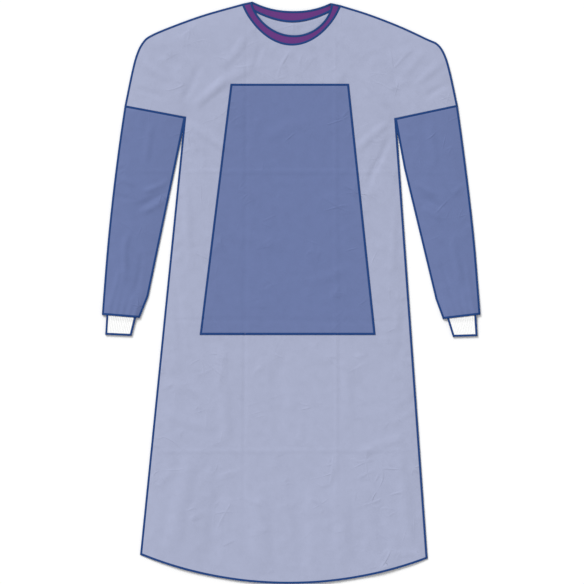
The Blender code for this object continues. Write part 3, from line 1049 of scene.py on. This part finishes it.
def back_swell(at):
    return BACK_RELIEF * (1 + drift(at, SWELL_LENGTH, 5)) / 2


def back_relief(at):
    """The pressed lines and a slow swell, shallow because the cloth lies on a hard surface."""
    ridges = sum(ridge(at, crease) for crease in BACK_CREASES + PRESSED)
    return back_swell(at) + BACK_SHARE * max(0.0, ridges)


def back_left_top(at):
    return CLOTH_UNDER + CLOTH + back_relief(at)


def back_right_top(at):
    return back_left_top(at) + LAYER * ease(lap_rise(at.x))


def level_ends(x):
    """The ends at hem and armpit level of a vertical line at x."""
    share = (x - RIGHT.armpit.x) / (LEFT.armpit.x - RIGHT.armpit.x)
    return hem(x), point(x, RIGHT.armpit.lerp(LEFT.armpit, share).y)


def make_back_left():
    bm = bmesh.new()
    top = along(traced(back_seam, -LAP_EDGE, NECK_HALF_WIDTH))
    ends = (level_ends(-LAP_EDGE), side_ends(LEFT))
    body_and_yoke(bm, BACK_COLUMNS, BACK_ROWS, BACK_YOKE_ROWS, *ends, top, back_left_top)
    shoulder_patch(bm, LEFT, back_left_top, BACK_YOKE_ROWS, SHOULDER_COLUMNS // 2)
    piece = thicken(finished("back_panel_left", bm, BODY_CLOTH), CLOTH)
    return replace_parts(piece, "back_left")


def make_back_right():
    bm = bmesh.new()
    half_columns = BACK_COLUMNS // 2
    ends = (side_ends(RIGHT), level_ends(LAP_RISE_STARTS))
    strips = [(half_columns, *ends, lambda share: RIGHT.arm[0])]
    spans = [(RISE_COLUMNS, LAP_RISE_STARTS, LAP_RISE_ENDS), (half_columns, LAP_RISE_ENDS, LAP_EDGE)]
    for columns, first, last in spans:
        top = along(traced(back_seam, first, last))
        strips.append((columns, level_ends(first), level_ends(last), top))
    for columns, low, high, top in strips:
        body_and_yoke(bm, columns, BACK_ROWS, BACK_YOKE_ROWS, low, high, top, back_right_top)
    shoulder_patch(bm, RIGHT, back_right_top, BACK_YOKE_ROWS, SHOULDER_COLUMNS // 2)
    piece = thicken(finished("back_panel_right", bm, BODY_CLOTH), CLOTH)
    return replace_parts(piece, "back_right")


back_panel_left = make_back_left()
back_panel_right = make_back_right()

# %% [markdown]
# ## The chest panel
# A second layer of stiffer, film-backed cloth covers the chest and stomach, where splashes land.
# It is a trapezium that lies on the front, so its heights are the front's own plus its wall.

# %% The chest panel
PANEL_LOW, PANEL_HIGH = (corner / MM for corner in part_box("chest_panel"))
PANEL_TOP = (point(-130, PANEL_HIGH.y), point(122.5, PANEL_HIGH.y))
PANEL_FOOT = (point(PANEL_LOW.x, PANEL_LOW.y), point(PANEL_HIGH.x, PANEL_LOW.y))
PANEL_WALL = 0.7
PANEL_GAP = 0.05
PANEL_COLUMNS, PANEL_ROWS = 64, 100


def panel_top(at):
    return front_top(at) + PANEL_WALL


def make_chest_panel():
    bm = bmesh.new()
    foot, top = straight(*PANEL_FOOT), straight(*PANEL_TOP)
    left, right = (straight(*ends) for ends in zip(PANEL_FOOT, PANEL_TOP))
    stretch(bm, PANEL_COLUMNS, PANEL_ROWS, foot, right, top, left, panel_top)
    piece = finished("chest_patch", bm, PANEL_CLOTH)
    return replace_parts(thicken(piece, PANEL_WALL - PANEL_GAP), "chest_panel")


chest_patch = make_chest_panel()

# %% [markdown]
# ## The sleeves
# Each lower sleeve is a tube of the stiffer cloth, pressed flat. A tube is a grid rolled up: the
# grid's second direction runs across the upper side and back underneath, and the merge closes it.
# Near the wrist the tube opens to let the cuff in, and its extra width is gathered into pleats.

# %% The sleeves
SLEEVE_STATIONS, SLEEVE_AROUND = 110, 60
SLEEVE_CLOTH = 0.5
SLEEVE_ENDS = 0.997  # the cloth stops just short of its end, inside the fold of its tape
SEAM_GAP = 0.3
MOUTH_LOFT = 4.5
MOUTH_LOFT_WIDTH = 13.0
MOUTH_STARTS = 0.8
GATHERS = 6
GATHER_HEIGHT = 0.35


def sleeve_top(at, station, share):
    """Top of a sleeve's upper side, at a share of the way across it."""
    opening = ease((station - MOUTH_STARTS) / (1 - MOUTH_STARTS))
    loft = LOFT + (MOUTH_LOFT - LOFT) * opening
    loft_width = LOFT_WIDTH + (MOUTH_LOFT_WIDTH - LOFT_WIDTH) * opening
    gathers = GATHER_HEIGHT * opening * (sin(2 * pi * GATHERS * share + station) - 1)
    lift = loft + (1 - opening) * creased(at, SLEEVE_CREASES) + gathers
    return LAYER + SOLID_CLOTH + lift * rising(from_closed_edge(at), loft_width)


def across_tube(outer, inner, turn):
    """Goes over the top of a flattened tube and back underneath. Also gives the share across."""
    share = 1 - abs(2 * turn - 1)
    return outer.lerp(inner, share), share


def make_sleeve(side, half):
    bm = bmesh.new()
    outer, inner = along(smooth(half.sleeve_outer)), along(half.sleeve_inner)

    def place(u, turn):
        station = SLEEVE_ENDS * u
        at, share = across_tube(outer(station), inner(station), turn)
        at.y -= SEAM_GAP * (1 - station)
        if turn <= 0.5:
            return spot(at, sleeve_top(at, station, share))
        return spot(at, CLOTH_UNDER + back_swell(at))

    roll(bm, SLEEVE_STATIONS, SLEEVE_AROUND, place)
    piece = finished(f"sleeve_cloth_{side}", bm, PANEL_CLOTH)
    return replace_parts(thicken(piece, SLEEVE_CLOTH), f"sleeve_{side}")


sleeves = {side: make_sleeve(side, half) for side, half in SIDES.items()}

# %% [markdown]
# ## The cuffs
# A rib cuff stretches over the hand and then grips the glove. Its ribs run along the arm. Real
# knitting is far too fine to model loop by loop here, so the ribs are geometry, and the V of each
# stitch is relief in the material, placed by the piece's own map in ribs and stitches.

# %% The cuffs
RIBS = 16
RIB_SPANS = 8
RIB_HEIGHT = 0.8
RIB_ROUND = 0.6
KNIT = 1.5
KNIT_HOLLOW = 0.5
KNIT_WALL = 0.75  # between the ribs
HALF_HEIGHT = KNIT + KNIT_HOLLOW / 2
CUFF_SLOPE = 1.4
CUFF_ROWS = 36
CUFF_STARTS = 0.03  # the knit stops this share short of its end, inside the fold of its tape
CUFF_LIFT_STARTS, CUFF_LIFT_ENDS = 0.55, 0.74
STITCHES = 46


def rib(share):
    """Height of the ribs, at a share of the way across the cuff."""
    return RIB_HEIGHT * abs(sin(pi * RIBS * share)) ** RIB_ROUND


def cuff_lift(station):
    """The cuff's rise where it goes up into the sleeve."""
    return LAYER * ease((station - CUFF_LIFT_STARTS) / (CUFF_LIFT_ENDS - CUFF_LIFT_STARTS))


def make_cuff(side, half):
    bm = bmesh.new()
    outer, inner = along(half.cuff_outer), along(half.cuff_inner)

    def place(u, turn):
        station = CUFF_STARTS + (1 - CUFF_STARTS) * u
        ends = outer(station), inner(station)
        at, share = across_tube(*ends, turn)
        rounding = min(1.0, min(share, 1 - share) * length(ends) / CUFF_SLOPE)
        bulge = HALF_HEIGHT * sin(pi / 2 * rounding)
        middle = cuff_lift(station) + HALF_HEIGHT
        if turn <= 0.5:
            return spot(at, middle + bulge + rib(share) * rounding)
        ribs = CLOTH_UNDER + RIB_HEIGHT - rib(share)
        return spot(at, middle - bulge + ribs * rounding)

    chart = lambda u, v: (v * 2 * RIBS, u * STITCHES)
    roll(bm, CUFF_ROWS, 2 * RIBS * RIB_SPANS, place, chart)
    piece = finished(f"rib_cuff_{side}", bm, RIB_KNIT)
    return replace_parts(thicken(piece, KNIT_WALL), f"cuff_{side}")


cuffs = {side: make_cuff(side, half) for side, half in SIDES.items()}

# %% [markdown]
# ## The neck binding
# A purple tape is folded over the raw edge of each neckline. Folded tape is thick and its edges
# are round, so each strip is a band from the seam line to the free edge whose top bulges.

# %% The neck binding
BAND = 1.4
BAND_BULGE = 0.35
BAND_STEP = 0.3  # how much higher than its own wall the upper binding lies where the backs lap
FOLDED = 0.75
BAND_COLUMNS, BAND_ROWS = 150, 6
BAND_LAP_EDGE = 79.0
FRONT_BAND_BASE, FRONT_BAND_END_BASE = 3.4, 1.9
FRONT_BAND_LEVEL_TO = 92.0


def front_band_top(at):
    past = (abs(at.x) - FRONT_BAND_LEVEL_TO) / (NECK_HALF_WIDTH - FRONT_BAND_LEVEL_TO)
    drop = (FRONT_BAND_BASE - FRONT_BAND_END_BASE) * ease(past)
    return FRONT_BAND_BASE - drop + BAND


def back_band_left_top(at):
    return BAND + CLOTH_UNDER / 2


def back_band_right_top(at):
    return back_band_left_top(at) + (BAND + BAND_STEP) * ease(lap_rise(at.x))


# Each band's two lines, its top, and which of its two ends meet at a shoulder
Band = namedtuple("Band", "seam free top shoulders")
BANDS = {
    "front": Band(NECK_SEAM, NECK_FREE, front_band_top, (True, True)),
    "back_left": Band(
        traced(back_seam, -LAP_EDGE, NECK_HALF_WIDTH),
        traced(back_free, -BAND_LAP_EDGE, FREE_HALF_WIDTH),
        back_band_left_top,
        (False, True),
    ),
    "back_right": Band(
        traced(back_seam, -NECK_HALF_WIDTH, LAP_EDGE),
        traced(back_free, -FREE_HALF_WIDTH, BAND_LAP_EDGE),
        back_band_right_top,
        (True, False),
    ),
}


def make_band(name, band):
    """A strip from a seam line to a free edge, mapped in metres along and across."""
    bm = bmesh.new()
    long, seam, free = length(band.free) * MM, along(band.seam), along(band.free)
    wide = (seam(0.5) - free(0.5)).length * MM

    def place(u, v):
        at = seam(u).lerp(free(u), v)
        return spot(at, band.top(at) - BAND_BULGE * (2 * v - 1) ** 4)

    chart = lambda u, v: (u * long, v * wide)
    add_grid(bm, BAND_COLUMNS, BAND_ROWS, place, chart)
    piece = finished(f"neck_tape_{name}", bm, NECK_TAPE)
    piece["long"] = long
    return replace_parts(thicken(piece, BAND * FOLDED), f"neck_band_{name}")


neck_bands = [make_band(name, band) for name, band in BANDS.items()]

# %% [markdown]
# ## Edge tape
# Every edge and seam of the gown is bound or covered with a narrow navy tape, sewn down its
# middle. A tape is a flattened tube that follows a line: a grid rolled up, like the sleeves. Where
# two layers are joined it is tall enough to close over both, and on one layer it is flat.

# %% Tape and stitches
TAPE_HALF_WIDTH = 2.35
TAPE_STEP = 4.0
TAPE_AROUND = 16
TAPE_SQUARE = 0.35
TAPE_LOW = 0.05
TAPE_PROUD = 0.35
STITCH_PITCH = 3.2
STITCH_LENGTH = 2.5
THREAD_RADIUS = 0.22

# A run of tape: a line seen from above, and the heights of the tape's two sides over any point
Run = namedtuple("Run", "points low high closed", defaults=[False])


def whole(run):
    """A run's points, back to the first one if it is closed."""
    return run.points + run.points[:1] if run.closed else run.points


def squared(value):
    """Bends a sine or cosine so that a turn draws a rounded rectangle."""
    return copysign(abs(value) ** TAPE_SQUARE, value)


def lay_tape(bm, run):
    """Adds a flattened tube along a run, mapped in metres along and around it."""
    sides, stations = sideways(run.points, run.closed), whole(run)
    count = len(stations) - 1
    long, girth = length(stations) * MM, 4 * TAPE_HALF_WIDTH * MM

    def place(u, v):
        index, turn = round(u * count), 2 * pi * v
        out = sides[index % len(sides)] * TAPE_HALF_WIDTH * squared(cos(turn))
        at = stations[index] + out
        low, high = run.low(at), run.high(at)
        return spot(at, (low + high + (high - low) * squared(sin(turn))) / 2)

    add_grid(bm, count, TAPE_AROUND, place, lambda u, v: (u * long, v * girth))


def sew(bm, run):
    """Adds a row of stitches along the middle of a run."""
    stations = whole(run)
    count = max(1, int(length(stations) / STITCH_PITCH))
    curve = along(stations)
    for index in range(count):
        at, ahead = curve((index + 0.5) / count), curve((index + 1) / count)
        turn = (ahead - at).to_3d().to_track_quat("X", "Z")
        size = Vector((STITCH_LENGTH / 2, THREAD_RADIUS, THREAD_RADIUS)) * MM
        matrix = Matrix.LocRotScale(spot(at, run.high(at)), turn, size)
        bmesh.ops.create_icosphere(bm, subdivisions=1, radius=1, matrix=matrix)


def bind(name, runs):
    """Makes one piece of tape and one of stitching from a list of runs."""
    tape, stitching = bmesh.new(), bmesh.new()
    for run in runs:
        lay_tape(tape, run)
        sew(stitching, run)
    bmesh.ops.remove_doubles(tape, verts=tape.verts, dist=MERGE * MM)
    open_ends = [edge for edge in tape.edges if edge.is_boundary]
    bmesh.ops.holes_fill(tape, edges=open_ends, sides=TAPE_AROUND)
    bmesh.ops.recalc_face_normals(tape, faces=tape.faces)
    pieces = [
        finished(f"tape_{name}", tape, EDGE_TAPE),
        finished(f"stitches_{name}", stitching, THREAD),
    ]
    print(pieces[0].name, round(sum(length(run.points) for run in runs) * MM, 2), "m of tape")
    return pieces


def taped(points, low, high):
    return Run(spaced(points, TAPE_STEP), low, high)


def over_one(points, cloth_top, wall=CLOTH):
    """Tape folded over the edge of one layer, or stitched flat onto it."""
    low = lambda at: max(TAPE_LOW, cloth_top(at) - wall - TAPE_PROUD)
    return taped(points, low, lambda at: cloth_top(at) + TAPE_PROUD)


def over_both(points, cloth_top):
    """Tape that closes over the joined edges of the upper and the lower cloth."""
    return taped(points, lambda at: TAPE_LOW, lambda at: cloth_top(at) + TAPE_PROUD)


print("tape", 2 * TAPE_HALF_WIDTH, "mm wide, sewn with a stitch every", STITCH_PITCH, "mm")

# %% Binding the body and the arms
NECK_END_RUN = 8.0
EDGE_WRAP = 0.3  # the tape wraps round the edge, so it stands this far past it
EDGE_INSET = TAPE_HALF_WIDTH - EDGE_WRAP
SIDE_LENGTH = length([RIGHT.armpit, hem(RIGHT.hem_x)])
HEM_STEPS = 60


def shoulder_top(at):
    """Height of the shoulder's edge, which falls from the neck band to the front's cloth."""
    share = ease((abs(at.x) - NECK_HALF_WIDTH) / NECK_END_RUN)
    return front_band_top(at) * (1 - share) + front_top(at) * share


def side_runs(half):
    """Tape down one side of the body, and over the shoulder from neck to sleeve."""
    neck_x, foot = -FREE_HALF_WIDTH * half.sign, hem(half.hem_x)
    arm = inset([point(neck_x, free_top(neck_x)), *smooth(half.arm)], EDGE_INSET * half.sign)
    above_armpit = half.armpit.lerp(foot, -TAPE_HALF_WIDTH / SIDE_LENGTH)
    return [over_both([above_armpit, foot], front_top), over_both(arm, shoulder_top)]


def hem_run(first_x, last_x, top):
    curve = hem_between(first_x, last_x)
    points = inset([curve(step / HEM_STEPS) for step in range(HEM_STEPS + 1)], EDGE_INSET)
    return over_one(points, top)


def lap_run(x, top):
    """Tape on a back panel's straight edge, from hem to neck seam."""
    inner = x - copysign(EDGE_INSET, x)
    return over_one([point(inner, hem(x).y), point(inner, back_seam(x).y)], top)


body_hem = hem_run(RIGHT.hem_x, LEFT.hem_x, front_top)
body_trim = bind("body", [*side_runs(RIGHT), *side_runs(LEFT), body_hem])
left_hem = hem_run(-LAP_EDGE, LEFT.hem_x, back_left_top)
back_left_trim = bind("back_left", [left_hem, lap_run(-LAP_EDGE, back_left_top)])
right_hem = hem_run(RIGHT.hem_x, LAP_EDGE, back_right_top)
back_right_trim = bind("back_right", [right_hem, lap_run(LAP_EDGE, back_right_top)])

# %% Binding the chest panel
PANEL_TAPE_INSET = 1.0


def make_panel_tape():
    corners = [*PANEL_FOOT, *reversed(PANEL_TOP), PANEL_FOOT[0]]
    outline = []
    for a, b in zip(corners, corners[1:]):
        outline += spaced([a, b], TAPE_STEP)[:-1]
    centre = inset(outline, PANEL_TAPE_INSET, closed=True)
    low = lambda at: front_top(at) - TAPE_LOW
    high = lambda at: panel_top(at) + TAPE_PROUD
    return bind("chest_panel", [Run(centre, low, high, closed=True)])


panel_trim = make_panel_tape()

# %% Binding the sleeves' ends and the cuffs
MOUTH_STATION = 0.995
ARMPIT_SHARE = 0.3
CUFF_EDGE_SHARE = 0.75
CUFF_TAPE_PROUD = 0.25
KNIT_WRAP = 0.1  # a tape on the knit's end stands this far past the knit's inner face
CUFF_TAPE_TOP = 2 * HALF_HEIGHT + RIB_HEIGHT + CUFF_TAPE_PROUD
UPPER_KNIT_LOW = 2 * HALF_HEIGHT - KNIT_WALL
LOWER_KNIT_HIGH = CLOTH_UNDER + RIB_HEIGHT + KNIT_WALL


def bind_sleeve(side, half):
    """Tape down a sleeve's two edges, and across its seam and its end on both sides."""
    upper = surface(sleeves[side])
    inwards = EDGE_INSET * half.sign
    outer, inner = smooth(half.sleeve_outer), spaced(half.sleeve_inner, TAPE_STEP)
    # At the armpit the tape sits astride the edge, because the body's tape starts beside it
    astride, inside = inset(inner, -inwards * ARMPIT_SHARE), inset(inner, -inwards)
    shares = [index / (len(inner) - 1) for index in range(len(inner))]
    under = [a.lerp(b, ease(share)) for a, b, share in zip(astride, inside, shares)]
    runs = [over_both(inset(outer, inwards), upper), over_both(under, upper)]
    for station in (0.0, MOUTH_STATION):
        ends = [along(outer)(station), along(inner)(station)]
        for cloth_top in (upper, lambda at: CLOTH_UNDER + SLEEVE_CLOTH):
            runs.append(over_one(ends, cloth_top, SLEEVE_CLOTH))
    return bind(f"sleeve_{side}", runs)


def around_cuff(points, edge, low=TAPE_LOW, high=CUFF_TAPE_TOP):
    """Tape along a cuff, which climbs into its sleeve along this edge."""
    foot, top = edge[0].y, edge[-1].y
    lift = lambda at: cuff_lift((at.y - foot) / (top - foot))
    return taped(points, lambda at: low + lift(at), lambda at: high + lift(at))


def bind_cuff(side, half):
    """Tape down a cuff's two edges, and round its open end on each side."""
    inwards = TAPE_HALF_WIDTH * half.sign
    outer, inner = half.cuff_outer, half.cuff_inner
    end = inset([outer[0], inner[0]], inwards)
    runs = [
        around_cuff(end, outer, low=UPPER_KNIT_LOW - KNIT_WRAP),
        around_cuff(end, outer, high=LOWER_KNIT_HIGH + KNIT_WRAP),
        around_cuff(inset(outer[:2], -inwards * CUFF_EDGE_SHARE), outer),
        around_cuff(inset(inner[:2], inwards * CUFF_EDGE_SHARE), inner),
    ]
    return bind(f"cuff_{side}", runs)


sleeve_trim = {side: bind_sleeve(side, half) for side, half in SIDES.items()}
cuff_trim = {side: bind_cuff(side, half) for side, half in SIDES.items()}

# %% Binding the neckline
SEAM_TAPE_INSET = 0.4
FREE_TAPE_INSET = 2.1
BACK_TAPE_GAP = 1.9
NECK_TAPE_STEPS = 80


def beside(edge, other, distance, shoulders, gap):
    """The line just inside one edge of a neck band, short of the ends that meet a shoulder."""
    near, far = along(edge), along(other)
    short = gap / length(edge)
    first, last = short * shoulders[0], 1 - short * shoulders[1]
    points = []
    for step in range(NECK_TAPE_STEPS + 1):
        share = first + (last - first) * step / NECK_TAPE_STEPS
        a, b = near(share), far(share)
        points.append(a.lerp(b, distance / (b - a).length))
    return points


def bind_neck(name, band):
    gap = TAPE_HALF_WIDTH if all(band.shoulders) else BACK_TAPE_GAP
    seam = beside(band.seam, band.free, SEAM_TAPE_INSET, band.shoulders, gap)
    free = beside(band.free, band.seam, FREE_TAPE_INSET, band.shoulders, gap)
    wall = BAND * FOLDED
    return bind(name, [over_one(seam, band.top, wall), over_one(free, band.top, wall)])


neck_trim = [bind_neck(f"neck_{name}", band) for name, band in BANDS.items()]

# %% [markdown]
# ## The cloth's flat cut
# Each panel's flat size, the size that it was cut to, is worked out and printed with its area. A
# sleeve and a cuff are tubes, so their cut is as wide as the way round them.

# %% The cloth's flat sizes
def spread(piece):
    """The width and length of the box around a piece, in metres."""
    corners = [Vector(corner) for corner in piece.bound_box]
    size = Vector(map(max, *corners)) - Vector(map(min, *corners))
    return size.x, size.y


def strip(piece, long):
    """The mean width and the length of a strip or a ribbed tube with its ribs drawn flat."""
    return cloth_area(piece) / long, long


def middle_length(outer, inner):
    """The length down the middle of a flattened tube, in metres."""
    return length([outer[index].lerp(inner[index], 0.5) for index in (0, -1)]) * MM


def declare(piece, flat, trim):
    """Prints a piece's name, the flat size that it was cut to, and its area."""
    area = cloth_area(piece)
    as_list(trim)
    print(piece.name, "cut", [round(side, 3) for side in flat], "m,", round(area, 4), "m2")


declare(back_panel_left, spread(back_panel_left), back_left_trim)
declare(back_panel_right, spread(back_panel_right), back_right_trim)
declare(front_panel, spread(front_panel), body_trim)
declare(chest_patch, spread(chest_patch), panel_trim)
for side, half in SIDES.items():
    widest = 2 * length([half.sleeve_outer[0], half.sleeve_inner[0]]) * MM
    sleeve_flat = (widest, middle_length(half.sleeve_outer, half.sleeve_inner))
    declare(sleeves[side], sleeve_flat, sleeve_trim[side])
    cuff_flat = strip(cuffs[side], middle_length(half.cuff_outer, half.cuff_inner))
    declare(cuffs[side], cuff_flat, cuff_trim[side])
under_bands = ["front_panel", "back_panel_left", "back_panel_right"]
for band, trim, cloth in zip(neck_bands, neck_trim, under_bands):
    declare(band, strip(band, band["long"]), trim)

# %% [markdown]
# ## Surface and light
# The gown lies on a plain pale surface. Light comes from all round, as in a white studio, and
# a wide soft lamp to one side gives the folds their shape. A sun lamp lights every part alike.

# %% Surface and light
FLOOR_SIZE = 30.0
FLOOR_DROP = 0.1
FLOOR_COLOUR = (0.965, 0.965, 0.965, 1)
KEY_STRENGTH = 2.4
KEY_ANGLE = radians(26)
KEY_TURN = (radians(48), 0, radians(-145))
WORLD_STRENGTH = 0.55


def make_floor():
    bm = bmesh.new()
    low = Matrix.Translation((0, 0, -FLOOR_DROP * MM))
    bmesh.ops.create_grid(bm, x_segments=1, y_segments=1, size=FLOOR_SIZE / 2, matrix=low)
    material, tree, shader = new_material("pale_floor", roughness=0.9, sheen=0.0)
    feed(shader, Base_Color=FLOOR_COLOUR)
    floor = mesh_object("floor", bm, material)
    floor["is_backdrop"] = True


def make_light():
    lamp = bpy.data.lights.new("key", "SUN")
    lamp.energy = KEY_STRENGTH
    lamp.angle = KEY_ANGLE
    new_object("key", lamp).rotation_euler = KEY_TURN
    world = bpy.data.worlds.new("studio")
    world.use_nodes = True
    feed(world.node_tree.nodes["Background"], Color=(1, 1, 1, 1), Strength=WORLD_STRENGTH)
    bpy.context.scene.world = world
    bpy.context.scene.view_settings.view_transform = "Standard"


make_floor()
make_light()
print("a floor", FLOOR_SIZE, "m wide, and a sun lamp of strength", KEY_STRENGTH)

# %% Size and finish
low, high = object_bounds()
{"cad": [list(CAD_LOW), list(CAD_HIGH)], "visual": [list(low), list(high)]}
print("visual", [round(side / MM, 1) for side in high - low], "mm")
